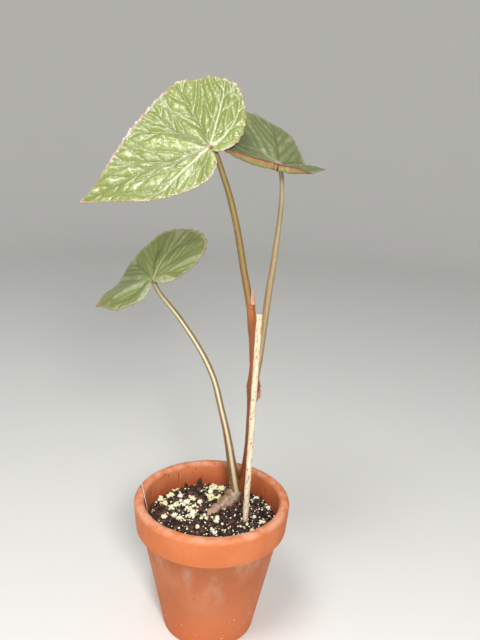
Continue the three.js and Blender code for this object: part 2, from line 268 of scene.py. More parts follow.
painted = Finish("matt_painted_board", "#E4E3DF", Roughness=0.9).material
sweep_outline = [(0, 0), *arc(FLOOR, CURVE, CURVE, -90, 0, 16), (FLOOR + CURVE, WALL)]
sweep = off_bench("sweep", turned(sweep_outline, SWEEP_STEPS), [painted])
print("sweep", [round(side, 1) for side in sweep.dimensions], "m")

# %% Lights
LIGHTS = {
    # name: (place from the pot's axis in mm, side in mm, watts)
    "key": ((130, -790, 640), 210, 7.9),
    "above": ((-240, -380, 1180), 380, 6),
    "left": ((-850, -550, 420), 600, 1.7),
}
AIM = POT_AXIS + Vector((0, 0, 200 * MM))
SKY, SKY_STRENGTH = "#F2F4F7", 0.38

for name, (place, side, watts) in LIGHTS.items():
    lamp = bpy.data.lights.new(name, "AREA")
    lamp.size = side * MM
    lamp.energy = watts
    holder = in_scene(name, lamp)
    holder.location = POT_AXIS + Vector(place) * MM
    holder.rotation_euler = (AIM - holder.location).to_track_quat("-Z", "Y").to_euler()
    holder.visible_camera = False
    print("light", name, [round(c, 2) for c in holder.location])

world = bpy.data.worlds.new("studio")
world.use_nodes = True
sky = world.node_tree.nodes["Background"]
sky.inputs["Color"].default_value = colour(SKY)
sky.inputs["Strength"].default_value = SKY_STRENGTH
bpy.context.scene.world = world
bpy.context.scene.view_settings.view_transform = "Standard"

# %% [markdown]
# ## The clay pot
#
# A common flower pot is pressed from red clay and fired without a glaze. Its
# wall tapers, a plain band stiffens its rim, and every edge is a little
# rounded because wet clay can't hold a sharp one. A pot is a turned thing, so
# its outline is drawn once and spun about its axis.

# %% The pot's outline
POT = {
    "height": 100, "rim_radius": 54, "rim_round": 3.2, "lip_radius": 46.9, "lip_round": 3,
    "band_bottom": 78.8, "band_radius": 52.5, "body_radius": 48.6, "foot_radius": 32.6,
    "soil_radius": 46, "soil_height": 82, "taper_radius": 43.6, "taper_height": 70,
    "floor": 6, "floor_radius": 28.5, "floor_round": 2, "drain_radius": 6.5, "edge": 0.9, "tuck": 0.3,
}
POT_STEPS = 192


def pot_outline():
    """Up the outside, over the rim, down the inside, and out through the drain hole."""
    edge, drain, floor = POT["edge"], POT["drain_radius"], POT["floor"]
    rim, lip, round_in = POT["rim_round"], POT["lip_round"], POT["floor_round"]
    band, body = POT["band_bottom"], POT["body_radius"]
    return [
        *arc(drain + edge, edge, edge, 180, 270),
        *arc(POT["foot_radius"] - edge, edge, edge, 270, 350),
        (body - POT["tuck"], band - edge),
        *arc(body + edge, band - edge, edge, 180, 90, 4),
        *arc(POT["band_radius"] - edge, band + edge, edge, 270, 360),
        *arc(POT["rim_radius"] - rim, POT["height"] - rim, rim, 5, 90, 10),
        *arc(POT["lip_radius"] + lip, POT["height"] - lip, lip, 90, 180, 10),
        (POT["soil_radius"], POT["soil_height"]), (POT["taper_radius"], POT["taper_height"]),
        *arc(POT["floor_radius"] - round_in, floor + round_in, round_in, 0, -90, 5),
        *arc(drain + edge, floor - edge, edge, 90, 180),
        (drain, edge),
    ]


# %% [markdown]
# Fired clay is matt and slightly sandy. Mineral salts from the water bloom as
# pale, cloudy patches on the body, and a pale band painted along the rim's top
# is a painted highlight where the lip catches the light. Watering leaves the
# inside dark and rusty just over the mix, and small splashes of mix dry there
# as dark specks, with streaks where they ran. The maker's pressing leaves
# faint level lines round the wall.

# %% Fired clay
CLAY_HEIGHTS = {
    # heights in mm, from where a mark is absent to where it is full
    "foot": (45, 5), "under_band": (79.5, 77), "up_body": (30, 70), "painted_rim_highlight": (96, 99.8),
    "over_mix": (78, 80), "damp": (95.5, 85), "dust": (40, 15),
}
INNER_WALL = (48.2, 47.4)  # mm from the pot's axis, from outside the inner wall's face to inside it
UPRIGHT_RUNS = (1, 1, 0.35)  # a pattern squeezed in height
LEVEL_LINES = (0.06, 0.06, 1)  # a pattern squeezed in width and depth


def off_axis(clay):
    """How far each spot is from the pot's axis."""
    to_axis = (-POT_AXIS.x, -POT_AXIS.y, 0)
    spot = clay.node("ShaderNodeVectorMath", {0: clay.place, 1: to_axis}, operation="ADD").outputs[0]
    flat = clay.node("ShaderNodeVectorMath", {0: spot, 1: (1, 1, 0)}, operation="MULTIPLY").outputs[0]
    return clay.node("ShaderNodeVectorMath", {0: flat}, operation="LENGTH").outputs["Value"]


def fired_clay():
    """Unglazed red clay: no gloss, a fine sandy grain, salt bloom and damp."""
    clay = Finish("fired_red_clay", "#C46C3A", Roughness=0.8, IOR=1.5)
    level = clay.node("ShaderNodeSeparateXYZ", {0: clay.place}).outputs["Z"]
    at = {mark: clay.where((level, start * MM, full * MM)) for mark, (start, full) in CLAY_HEIGHTS.items()}
    clay.coat("#D27C50", clay.spots(30, 0.35, 0.7, 4))
    clay.coat("#BC6233", clay.spots(1.1, 0.35, 0.75, 2), 0.3)
    clay.coat("#C26029", at["foot"], 0.55)
    # salt bloom in clouds and upright runs on the body, and a painted highlight along the rim's top
    bloom = clay.spots(11, 0.42, 0.75, 6, UPRIGHT_RUNS)
    clay.coat("#DDB8A0", bloom, at["under_band"], at["up_body"], 0.52)
    clay.coat("#F0CDB6", at["painted_rim_highlight"], clay.spots(6, 0.3, 0.7, 5), 0.36)
    # damp clay and dried splashes inside, from the mix upwards
    inside = clay.where((off_axis(clay), *[reach * MM for reach in INNER_WALL]), at["over_mix"])
    clay.coat("#A24C26", inside, at["damp"], clay.spots(7, 0.2, 0.55, 3, UPRIGHT_RUNS))
    clay.coat("#6E3B22", inside, clay.spots(2.2, 0.68, 0.72, 1, UPRIGHT_RUNS))
    # specks burnt into the clay, and dust near the foot
    clay.coat("#98532F", clay.spots(2.8, 0.77, 0.79, 1), 0.6)
    clay.coat("#E8E0D2", at["dust"], clay.spots(1.7, 0.73, 0.75, 1))
    # faint level pressing lines, and the sandy grain over them
    clay.relief(clay.cloud(1.6, 2, LEVEL_LINES), 0.15, 0.3)
    clay.relief(clay.cloud(0.5, 4), 0.1, 0.45)
    return clay.material


piece("clay_pot", turned(pot_outline(), POT_STEPS), [fired_clay()], ["terracotta_pot"])

# %% [markdown]
# ## The potting mix
#
# The mix is a bed of peat and composted bark, crowned slightly in the middle.
# The bed is one turned shape whose top is pushed up and down by noise, and
# the loose stuff on it is thousands of small solids. Each is an icosphere
# with its corners knocked about, because a crumb has only about twenty faces.

# %% The bed
SOIL = {"wall_height": 82, "crown": 3.6, "gap": 0.3, "recess": 9.5, "lumps": 1.7, "lump_size": 7,
        "sunk": 0.8, "rings": 40, "steps": 120}


def soil_height(x, y):
    """The bed's height in mm at a place given in mm from the pot's axis."""
    reach = min(math.hypot(x, y) / POT["soil_radius"], 1)
    lump = noise.noise(Vector((x, y, 0)) / SOIL["lump_size"]) * SOIL["lumps"] * (1 - reach ** 6)
    return SOIL["wall_height"] + SOIL["crown"] * (1 - reach ** 2) + lump


def mix_bed():
    """The body of the mix, with its hollow over the drain hole."""
    gap, hollow, recess = SOIL["gap"], POT["drain_radius"] + 1, SOIL["recess"]
    wall, floor, round_in = POT["soil_radius"] - gap, POT["floor_radius"], POT["floor_round"]
    low, high = POT["floor"] + gap, POT["soil_height"]
    outline = [(0, recess), (hollow, recess), (hollow, low), (floor - round_in, low),
               (floor - gap, low + round_in), (POT["taper_radius"] - gap, POT["taper_height"])]
    outline += [(wall * (1 - i / SOIL["rings"]), high) for i in range(SOIL["rings"] + 1)]
    bench = turned(outline, SOIL["steps"])
    for vert in bench.verts:
        if vert.co.z > (high - 0.1) * MM:
            x, y = (vert.co.x - POT_AXIS.x) / MM, (vert.co.y - POT_AXIS.y) / MM
            vert.co.z = (soil_height(x, y) - SOIL["sunk"]) * MM
    return bench


# %% [markdown]
# Damp peat is nearly black and matt. The bark in it is red-brown, and each
# chip has its own shade, which is kept on its corners as an attribute called
# "tone" and picked up by the finish.

# %% Peat, bark and perlite
def crumbled(name, dark, light, size_mm, depth_mm, rough):
    """A matt, broken surface whose shade changes from grain to grain with their tone."""
    crumb = Finish(name, dark, Roughness=rough, IOR=1.45)
    crumb.coat(light, crumb.node("ShaderNodeAttribute", attribute_name="tone").outputs["Fac"])
    crumb.coat(dark, crumb.spots(size_mm, 0.42, 0.62), 0.5)
    crumb.relief(crumb.cloud(size_mm, 4), depth_mm, 0.8)
    return crumb.material


peat = crumbled("damp_peat", "#211715", "#5C3C30", 1.2, 0.5, 0.9)
bark = crumbled("composted_bark", "#33201B", "#7A4A3C", 0.9, 0.3, 0.7)
perlite = crumbled("expanded_perlite", "#F4F0DC", "#D2D07C", 0.7, 0.15, 0.75)

piece("mix_bed", mix_bed(), [peat], ["potting_soil"])

# %% [markdown]
# The crumbs are scattered by a seeded random source, so they fall the same
# way each time. Perlite lies thinly all over the mix, and in heaps where it
# was washed together. The heaps' places are measured in the photograph.

# %% Scattering grains
PERLITE_HEAPS = [
    # x, y in mm from the pot's axis, spread, beads, and how yellow-green they are
    (-29, 36, 3.2, 30, 0.9), (-31, 27, 2, 12, 0.8), (-38, 22, 2.8, 18, 0.8), (-34, 15, 2.6, 16, 0.8),
    (-15, 20, 2.8, 22, 0.8), (-27, 10, 2.6, 18, 0.6), (-22, 14, 2.6, 16, 0.7), (-14, 6, 3, 26, 0.8),
    (-10, 5, 2.6, 14, 0.7), (-15, -4, 3.2, 20, 0.5), (-1, 22, 2.6, 26, 1.0), (5, 21, 2.2, 18, 1.0),
    (0, 37, 3, 26, 1.0), (8, 38, 2.8, 22, 0.9), (1, 42.5, 1.4, 16, 0.8), (-33, -2, 2, 9, 0.5),
    (-22, -7, 1.8, 7, 0.4), (4, -7, 2.2, 12, 0.7), (-5, -6, 2, 9, 0.7), (33, 26, 2.2, 12, 0.3),
    (34, -7, 1.8, 6, 0.3), (41, 14, 1.6, 7, 0.4), (2, -22, 2.2, 9, 0.2), (26, 12, 1.6, 5, 0.2),
    (24, -24, 2.2, 9, 0.7),
]
STANDING_CHIPS = [(-9.4, 38.5, 3.2, 3.5), (-42, 8, 2.4, 1.5), (-20, 38, 2.6, 1.8), (36, 22, 2.4, 1.5)]
FIELD = 44.5  # grains lie within this radius
STREWN = {
    # kind: how many, their radii, their two shorter sides as shares of the radius, how strongly
    # they lean to the dark shade, and their heights over the bed
    "peat": (3600, (0.5, 1.7), (0.5, 0.9), (0.4, 0.8), 2, (-0.6, 0.9)),
    "bark": (330, (1.3, 3.2), (0.4, 0.7), (0.2, 0.5), 1.5, (-0.2, 1.4)),
}
CHIP_SHAPE, BEAD_SHAPE = (0.5, 0.35, 1.6), (1, 0.8, 0.75)
BEADS = 760  # loose beads of perlite
HEAP_FULLNESS, HEAP_SPREAD = 1.4, 0.6  # both multiply what the table of heaps says
KNOCK = 0.22  # how far a crumb's corners are moved, as a share of its radius


def grain(bench, tone_layer, chance, x, y, radius, shape, tone, lift=0.0, rounds=1):
    """Adds one crumb: an icosphere, stretched, turned at random and knocked about."""
    spin = Matrix.Rotation(chance.uniform(0, math.tau), 4, "Z") @ Matrix.Rotation(
        chance.uniform(-0.6, 0.6), 4, "X")
    height = soil_height(x, y) + lift
    place = Matrix.Translation(POT_AXIS + Vector((x, y, height)) * MM)
    stretch = Matrix.Diagonal((*[radius * MM * s for s in shape], 1))
    made = bmesh.ops.create_icosphere(bench, subdivisions=rounds, radius=1, matrix=place @ spin @ stretch)
    knock = radius * KNOCK * MM
    for vert in made["verts"]:
        vert.co += Vector([chance.uniform(-knock, knock) for _ in range(3)])
        vert[tone_layer] = tone


def somewhere(chance):
    """A random place on the mix, as likely in one spot as in another."""
    reach, angle = FIELD * math.sqrt(chance.random()), chance.uniform(0, math.tau)
    return reach * math.cos(angle), reach * math.sin(angle)


def scatter(name, seed, finish, make):
    """Makes one piece of many grains."""
    bench = bmesh.new()
    make(bench, bench.verts.layers.float.new("tone"), random.Random(seed))
    piece(name, bench, [finish], [], smooth=False, turned_out=False)


def strew(bench, layer, chance, kind):
    """Strews grains of a kind evenly over the mix."""
    count, radii, widths, depths, dark, lifts = STREWN[kind]
    for _ in range(count):
        x, y = somewhere(chance)
        radius = chance.uniform(*radii)
        shape = (1, chance.uniform(*widths), chance.uniform(*depths))
        grain(bench, layer, chance, x, y, radius, shape, chance.random() ** dark, chance.uniform(*lifts))


def peat_crumbs(bench, layer, chance):
    """Crumbs of peat all over the bed."""
    strew(bench, layer, chance, "peat")


def bark_chips(bench, layer, chance):
    """Chips of bark lying about, and a few that stand on end."""
    strew(bench, layer, chance, "bark")
    for x, y, radius, lift in STANDING_CHIPS:
        grain(bench, layer, chance, x, y, radius, CHIP_SHAPE, 0.2, lift, 2)


def perlite_beads(bench, layer, chance):
    """Loose beads of perlite, whiter on the right, and then the heaps."""
    for _ in range(BEADS):
        x, y = somewhere(chance)
        grain(bench, layer, chance, x, y, chance.uniform(0.3, 1.1), BEAD_SHAPE,
              chance.uniform(0, 0.5 if x > 10 else 1), chance.uniform(0.2, 1.1))
    for x, y, spread, beads, yellow in PERLITE_HEAPS:
        for _ in range(round(beads * HEAP_FULLNESS)):
            off_x, off_y = (chance.gauss(0, spread * HEAP_SPREAD) for _ in range(2))
            off = math.hypot(off_x, off_y) / spread
            if math.hypot(x + off_x, y + off_y) < FIELD:
                grain(bench, layer, chance, x + off_x, y + off_y, chance.uniform(0.6, 1.7), BEAD_SHAPE,
                      yellow * chance.uniform(0.4, 1), chance.uniform(0.3, 3.2) * max(0.3, 1 - off))


scatter("peat_crumbs", 11, peat, peat_crumbs)
scatter("bark_chips", 12, bark, bark_chips)
scatter("perlite_beads", 13, perlite, perlite_beads)

# %% [markdown]
# The larger grains have places of their own in the model. Each is made again
# in its own box, with finer faces, so that it is round and pitted like a bead
# of perlite, or flat and split like a chip of bark.

# %% The larger grains
BOX_SHARE = 0.94  # a grain's size as a share of its box
PIT_SIZE = 1.3  # mm from pit to pit


def grains_in_boxes(name, kind, finish, seed, roughness):
    """One piece of all the model's larger grains of a kind."""
    chance = random.Random(seed)
    bench = bmesh.new()
    layer = bench.verts.layers.float.new("tone")
    nodes = sorted(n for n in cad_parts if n.startswith(kind))
    for grain_node in nodes:
        low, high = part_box(grain_node)
        place = Matrix.Translation((low + high) / 2) @ Matrix.Diagonal((*((high - low) / 2), 1))
        made = bmesh.ops.create_icosphere(bench, subdivisions=3, radius=BOX_SHARE, matrix=place)
        tone = chance.random() * 0.6
        for vert in made["verts"]:
            out = (vert.co - (low + high) / 2) * roughness
            vert.co += out * noise.noise(vert.co * spots_of(PIT_SIZE))
            vert[layer] = tone
    piece(name, bench, [finish], nodes, turned_out=False)


grains_in_boxes("large_perlite", "perlite", perlite, 14, 0.35)
grains_in_boxes("large_bark", "bark", bark, 15, 0.5)

# %% [markdown]
# ## Stems
#
# A stalk is a tube whose thickness changes along a curved line. A flat grid
# is rolled up round that line: its width goes round the stalk, and its
# length goes along. While it is rolled, each corner keeps its place on the
# unrolled skin in an attribute called "skin", and its share of the length in
# "along". Fibres and fading can then follow the stalk, whichever way it leans.
#
# The line runs smoothly through stations that were measured in the
# photograph, each an x, y, z and radius in millimetres.

# %% A smooth line through points
def through(points, share):
    """The point at a share of the way along a smooth line through all the points."""
    place = share * (len(points) - 1)
    i = min(int(place), len(points) - 2)
    t = place - i
    a, b, c, d = (points[min(max(k, 0), len(points) - 1)] for k in range(i - 1, i + 3))
    return (2 * b + (c - a) * t + (2 * a - 5 * b + 4 * c - d) * t ** 2
            + (3 * b - a - 3 * c + d) * t ** 3) / 2


def rings_along(stations, steps):
    """The centre, the two cross directions, the radius and the length so far, at each step."""
    spots = [through([Vector(s) for s in stations], i / steps) for i in range(steps + 1)]
    centres = [Vector(spot[:3]) for spot in spots]
    aside, rings, length = Vector((1, 0, 0)), [], 0.0
    for i, centre in enumerate(centres):
        ahead = (centres[min(i + 1, steps)] - centres[max(i - 1, 0)]).normalized()
        aside = (aside - ahead * aside.dot(ahead)).normalized()
        length += (centre - centres[max(i - 1, 0)]).length
        rings.append((centre, aside, ahead.cross(aside), spots[i][3], length))
    return rings


def rolled_stem(stations, sides, steps, scars=(), lumps=0.0, lump_size=5.0):
    """A closed stem. Scars are (share of the length, half width as a share, height in mm)."""
    bench = bmesh.new()
    skin = bench.verts.layers.float_vector.new("skin")
    along = bench.verts.layers.float.new("along")
    bmesh.ops.create_grid(bench, x_segments=sides, y_segments=steps, size=0.5)
    rings = rings_along(stations, steps)
    for vert in bench.verts:
        share, angle = vert.co.y + 0.5, math.tau * (vert.co.x + 0.5)
        centre, across, up, radius, length = rings[round(share * steps)]
        radius += sum(high * math.exp(-((share - spot) / wide) ** 2) for spot, wide, high in scars)
        out = across * math.cos(angle) + up * math.sin(angle)
        radius += lumps * noise.noise((centre + out * radius) / lump_size)
        vert[skin] = Vector((math.cos(angle) * radius, math.sin(angle) * radius, length)) * MM
        vert[along] = share
        vert.co = POT_AXIS + (centre + out * radius) * MM
    bmesh.ops.remove_doubles(bench, verts=bench.verts, dist=0.005 * MM)
    ends = [edge for edge in bench.edges if edge.is_boundary]
    bmesh.ops.holes_fill(bench, edges=ends, sides=0)
    return bench


# %% [markdown]
# A begonia's stalks are smooth and juicy, with a soft shine. Fine fibres run
# lengthwise under the skin, and short pale marks, where the skin breathes,
# lie along them. The colour changes from one end of a stalk to the other.
#
# A pale line runs down the front of each stalk. It stands in for the shine
# that a lamp beside the lens gives a wet, round stalk, which the soft lamps
# of this studio can't give.

# %% Living stem skin
FRONT = (0.15, -0.99, 0)  # the side of a stalk that its pale line follows
PAINTED_SHINE = "#F2E6C6"
FIBRES, SHORT_MARKS = (1, 1, 0.07), (1, 1, 0.3)  # both patterns are squeezed along the stem


def facing_front(stem):
    """How squarely each spot of a stem faces the front, 1 where it does so fully."""
    flat = stem.node("ShaderNodeVectorMath", {0: stem.place, 1: (1, 1, 0)}, operation="MULTIPLY").outputs[0]
    out = stem.node("ShaderNodeVectorMath", {0: flat}, operation="NORMALIZE").outputs[0]
    return stem.node("ShaderNodeVectorMath", {0: out, 1: FRONT}, operation="DOT_PRODUCT").outputs["Value"]


def stem_skin(name, start, end, streak, mark, gloss=0.32, wax=0.2, fibre_mm=0.05, marks_from=0.68,
              marked=0.5, line=0.0, foot=None):
    """Juicy, fibrous skin. Its colour fades from start to end, streaked and marked along its length.
    A line is how clear the pale line along its front is. A foot is (colour, share of the length
    where it ends, share where it is full)."""
    stem = Finish(name, start, "skin", Roughness=gloss, IOR=1.42, Coat_Weight=wax, Coat_Roughness=0.15)
    along = stem.node("ShaderNodeAttribute", attribute_name="along").outputs["Fac"]
    stem.coat(end, along)
    stem.coat(streak, stem.spots(0.9, 0.35, 0.7, 3, FIBRES), 0.55)
    stem.coat(mark, stem.spots(0.8, marks_from, marks_from + 0.05, 1, SHORT_MARKS), marked)
    if line:
        # the line is a painted highlight, a pale stripe laid into the skin's colour
        stem.coat(PAINTED_SHINE, (facing_front(stem), 0.9, 0.995), (along, 1, 0.8), line)
    if foot:
        stem.coat(foot[0], (along, *foot[1:]))
    stem.relief(stem.cloud(0.7, 3, FIBRES), fibre_mm)
    return stem.material


# %% [markdown]
# The rhizome is a thick stem that creeps on top of the mix. It is woody and
# knobby, with a ring where each old leaf dropped off, and the cane and the
# oldest stalk grow from its upper end. A faint pale line along its top is a
# painted highlight, like the stalks' painted shine.

# %% Rhizome
RHIZOME = [
    (-3.5, -3.5, 83.5, 1.2), (-1, -1, 85.6, 2.6), (3.4, 5, 86, 3), (7, 9.6, 86.2, 3.9),
    (11, 15, 86.4, 4.9), (15.5, 20.4, 87.6, 5.7), (19, 23, 90, 5.5), (21, 24.5, 94, 4.2),
    (21.6, 25, 97, 1.6),
]
RING_SCARS = [(0.2, 0.03, 0.5), (0.33, 0.02, 0.6), (0.45, 0.025, 0.8), (0.6, 0.025, 0.8), (0.74, 0.03, 0.7)]

woody = stem_skin("woody_rhizome_skin", "#B48C76", "#6A5634", "#46342E", "#DCCAB8", gloss=0.45, wax=0.1,
                  fibre_mm=0.7, marks_from=0.62, line=0.2)
knobby = rolled_stem(RHIZOME, 48, 120, RING_SCARS, lumps=2, lump_size=3.9)
piece("rhizome_skin", knobby, [woody], ["rhizome"])

# %% [markdown]
# The cane stands up from the rhizome. It flares at its foot, swells at its
# node, where the second leaf's stalk leaves it, and thins above.

# %% Cane
CANE = [
    (22.4, 22, 92, 5), (22.9, 21.7, 99, 4.5), (24, 21.2, 110, 3.8), (24.6, 21, 122, 3.3),
    (25, 20.7, 138, 2.9), (25.2, 20.6, 160, 3.1), (26, 20.5, 168, 4.3), (26.1, 20.4, 175, 4.8),
    (25.5, 20.3, 183, 3.4), (25, 20.3, 192, 2.5), (23.5, 20.2, 212, 2.75), (21.9, 20, 228, 3),
    (21.1, 20, 235.2, 2.9),
]
CANE_SCARS = [(0.16, 0.006, 0.3), (0.535, 0.006, 0.22), (0.585, 0.007, 0.25), (0.955, 0.006, 0.3)]

cane_skin = stem_skin("reddish_cane_skin", "#864626", "#A46230", "#743C20", "#C89468", gloss=0.36,
                      marked=0.3)
upright = rolled_stem(CANE, 32, 220, CANE_SCARS, lumps=0.25, lump_size=6)
piece("cane_skin", upright, [cane_skin], ["main_cane"])

# %% [markdown]
# The three leaf stalks differ with age. The top one is the youngest, and turns
# from brown at its foot to olive at its leaf. The second grows paler towards
# its leaf, and its darker foot is partly painted shade. The third, which grows
# from the rhizome, is the thickest and the glossiest, and has the clearest
# painted shine.

# %% Leaf stalks
STALKS = {
    "stalk_1": {
        "node": "petiole_1", "slot": "petiole",
        "look": {"start": "#8C6428", "end": "#746A32", "streak": "#6E5424", "mark": "#C5B080",
                 "line": 0.1},
        "stations": [
            (20.8, 20, 232, 2.4), (20.2, 19.8, 236, 2.6), (18.3, 18.8, 245, 2.55),
            (15.1, 17.2, 260, 2.4), (10.5, 14.3, 283, 2.2), (4.7, 11.5, 305.3, 2.05),
            (-2.8, 8.6, 326.5, 1.8), (-5.6, 7.2, 333, 1.55), (-8.6, 5.6, 336.2, 1.3)],
    },
    "stalk_2": {
        "node": "petiole_2", "slot": "petiole",
        # its darker start is partly painted shade at the stalk's foot
        "look": {"start": "#825C24", "end": "#A6987A", "streak": "#7C6030", "mark": "#D4C29A",
                 "line": 0.12},
        "stations": [
            (25.4, 20.6, 169, 1.8), (26.4, 20.9, 174, 2.3), (27.5, 21.1, 182, 2.4),
            (29.7, 21.2, 201.3, 2.4), (32.5, 21.4, 236, 2.35), (34.9, 21.5, 260, 2.15),
            (37.3, 21.8, 288, 1.75), (38, 21.9, 305, 1.55), (37.2, 21.2, 318, 1.45),
            (34.9, 20.1, 326.6, 1.45)],
    },
    "stalk_3": {
        "node": "petiole_3", "slot": "old_petiole",
        "look": {"start": "#84562C", "end": "#888054", "streak": "#6A4E28", "mark": "#D6C6A2",
                 "gloss": 0.25, "wax": 0.8, "line": 0.72},
        "stations": [
            (18.6, 23, 86, 5.2), (17.9, 22.4, 90, 4.7), (16.4, 21.5, 97, 4), (13.1, 20, 115.5, 3.35),
            (8.9, 17.7, 138.7, 2.75), (3.7, 15.4, 161, 2.35), (-1.9, 13.1, 182.7, 2.15),
            (-11.2, 10.7, 203.4, 2), (-25.2, 7.6, 226.1, 1.8), (-38.4, 4.6, 243.8, 1.6),
            (-42.9, 3.2, 253.6, 1.4)],
    },
}

for name, stalk in STALKS.items():
    skin = stem_skin(f"{name}_skin", **stalk["look"])
    smooth_stem = rolled_stem(stalk["stations"], 28, 200, lumps=0.12, lump_size=9)
    piece(name, smooth_stem, [skin], [stalk["node"]])

# %% [markdown]
# ## Leaves
#
# Each blade hangs from the top of its stalk. It is lopsided, as all begonia
# leaves are, with a toothed margin and main veins that fan out from the
# stalk. Between the veins the blade is puffed up, like a quilt.
#
# A blade lies in a plane of its own. "elevation" and "azimuth" say where its
# upper side faces, and "turn" where its midrib points within it. "outline" is
# the margin in that plane from tip to tip, with x along the midrib. "lifts"
# are (bearing, spread, slope) where a sector rises or sags, and "folds" are
# (depth, half width, line) where it is creased. "veins" are the main veins,
# each a pale, dark or plain line, or a line with a painted highlight along it.
# "patches" are (x, y, half width).
# Places, widths and depths are in millimetres, and angles are in degrees.
#
# "rows" and "spokes" say how fine its grid is, with spokes for each corner of
# the outline. "branch_gap" and "branch_turn" say how far apart the side veins
# start and how sharply they leave. "puff", "valley", "tooth" and "wave" are
# how high or deep its relief is, and "fade" how soon a vein's line fades.
# "curl" is a stretch of margin that is rolled up, on either side of a bearing,
# with a gap where the blade is slit.

# %% Leaf 1
LEAF_1 = {
    "at": (-9, 5, 336.7), "elevation": 32, "azimuth": -5, "turn": 205.4, "droop": 8,
    "lifts": [(-90, 50, -0.1)],
    "outline": [
        (86, 1), (78, -2), (69, -8), (57, -18), (43, -29), (30, -38), (14, -47), (2, -52), (-9, -49),
        (-20, -46), (-30, -35), (-30, -22), (-25, -6), (-16, 4), (-6, 6), (-1, 4), (-1, 6), (0, 12),
        (7, 19), (19, 22), (35, 21), (50, 17), (63, 11), (77, 5)],
    "veins": [
        ("pale", [(0, 0), (24, 1), (46, -0.5), (67, 1), (85, 1)]),
        ("dark", [(0, 0), (11, -12), (16, -19), (21, -33), (24, -43)]),
        ("dark", [(0, 0), (-0.5, -14), (1.5, -27), (3, -51)]),
        ("glint_vein", [(0, 0), (-11, -16), (-20, -30), (-25, -40)]),
        ("glint_vein", [(0, 0), (-11, -4), (-22, -12), (-30, -26)]),
        ("glint_vein", [(0, 0), (23, 10), (36, 16), (50, 17)]),
        ("plain", [(0, 0), (8, 13), (13, 21)]),
        ("plain", [(24, 1), (38, -5.5), (58, -16)]),
        ("plain", [(14, -16), (27, -23), (40, -29)]),
    ],
    "folds": [(1.2, 4, [(-3, 1), (-12, 0)])],
    "rows": 72, "spokes": 24, "branch_gap": 12, "branch_turn": 36, "puff": 1.7, "puff_size": 5.5,
    "valley": 1.1, "tooth": 2.1, "wave": 0.9, "fade": 0.7, "patches": {"deep": (-15, -22, 24)},
}

# %% Leaf 2
LEAF_2 = {
    "at": (34.9, 20, 327.2), "elevation": 71.7, "azimuth": 25, "turn": -55, "droop": 0,
    "lifts": [(134, 45, 0.28), (-141, 50, 0.17), (0, 28, 0.2), (55, 14, -0.25)],
    "outline": [
        (29.8, 0.5), (28, 5), (22.5, 10.5), (16, 17), (10, 20), (4, 23), (-3, 29), (-9, 33), (-18, 33),
        (-28, 31), (-37, 30), (-44, 26), (-50, 18), (-51, 7), (-47, -6), (-38, -18), (-27, -27),
        (-13, -27), (-2, -20), (4, -16.5), (5.8, -14.6), (3.1, -4.5), (6.2, -14.5), (12, -11.5),
        (25, -6.5)],
    "veins": [
        ("plain", [(0, 0), (12, 1), (22, 1), (29, 1)]),
        ("dark", [(0, 0), (4, 10), (8, 20)]),
        ("dark", [(0, 0), (-10, 14), (-18, 24), (-23, 31)]),
        ("pale", [(0, 0), (-18, 2), (-30, 3), (-50, 10)]),
        ("pale", [(0, 0), (-12, -9), (-23, -20), (-30, -26)]),
        ("plain", [(0, 0), (-5, -12), (-7, -24)]),
        ("plain", [(0, 0), (9, -5), (16, -9)]),
    ],
    "folds": [(1.2, 3, [(-8, -2), (-30, -6)])],
    "rows": 60, "spokes": 20, "branch_gap": 8, "branch_turn": 34, "puff": 1.1, "puff_size": 5,
    "valley": 0.7, "tooth": 1.3, "wave": 0.6, "fade": 1.2, "patches": {"deep": (25, 1, 9)},
    "curl": {"centre": -74, "half": 61, "height": 4.2, "round": 1.6, "gap": (-67, 1)},
}

# %% Leaf 3
LEAF_3 = {
    "at": (-43.2, 3, 254.3), "elevation": 45, "azimuth": -40, "turn": 219, "droop": 4,
    "lifts": [(-35, 20, -0.3)],
    "outline": [
        (45, 0), (41, -7), (39, -16), (32, -23), (23, -25), (13, -25), (3, -29), (-9, -35), (-21, -32),
        (-32, -25), (-39, -16), (-39, -7), (-34, 1), (-25, 7), (-16, 10), (-8, 9), (-2, 5), (0, 2),
        (1, 6), (3, 11), (9, 15), (18, 15), (26, 14), (33, 9), (40, 3)],
    "veins": [
        ("pale", [(0, 0), (12, -4.5), (22, -5), (34, -2), (44, 0)]),
        ("dark", [(0, 0), (5, -8), (13, -21)]),
        ("dark", [(0, 0), (-1, -13), (-4, -22), (-8, -34)]),
        ("pale", [(0, 0), (-5, -8), (-14, -16.5), (-32, -20)]),
        ("plain", [(0, 0), (-14, -6), (-26, -8), (-38, -9)]),
        ("plain", [(0, 0), (-10, 1), (-20, 6)]),
        ("dark", [(0, 0), (10, 5), (20, 9), (32, 6)]),
    ],
    "folds": [(1.6, 3.5, [(0, -3), (-1, -13), (-4, -22)]), (1.3, 3, [(5, -8), (13, -21)]),
              (0.7, 3, [(8, 4), (22, 8)])],
    "rows": 60, "spokes": 20, "branch_gap": 5, "branch_turn": 26, "puff": 0.8, "puff_size": 3,
    "valley": 0.9, "tooth": 1.5, "wave": 0.7, "fade": 1,
    "patches": {"dry": (46, 0, 6), "deep": (-1, -5, 9)},
}

# %% [markdown]
# The side veins aren't listed. They are grown by a loop: every few
# millimetres along a main vein one leaves it, left and right in turn, bends
# towards the margin, and stops before it would run into another main vein.
# All of them go into a search tree, which then tells any spot of the blade how
# far off its nearest vein is.

# %% Growing the veins
STRIDE = 0.5  # distance between the points kept of a vein
BRANCH_REACH = 34  # longest side vein
BARE_HEART = 6  # no side vein starts nearer to the stalk than this
CLEARANCE = 1.5  # a side vein stops this far from another main vein
BEND = 0.006  # how much a side vein bends at each stride towards its main vein's direction


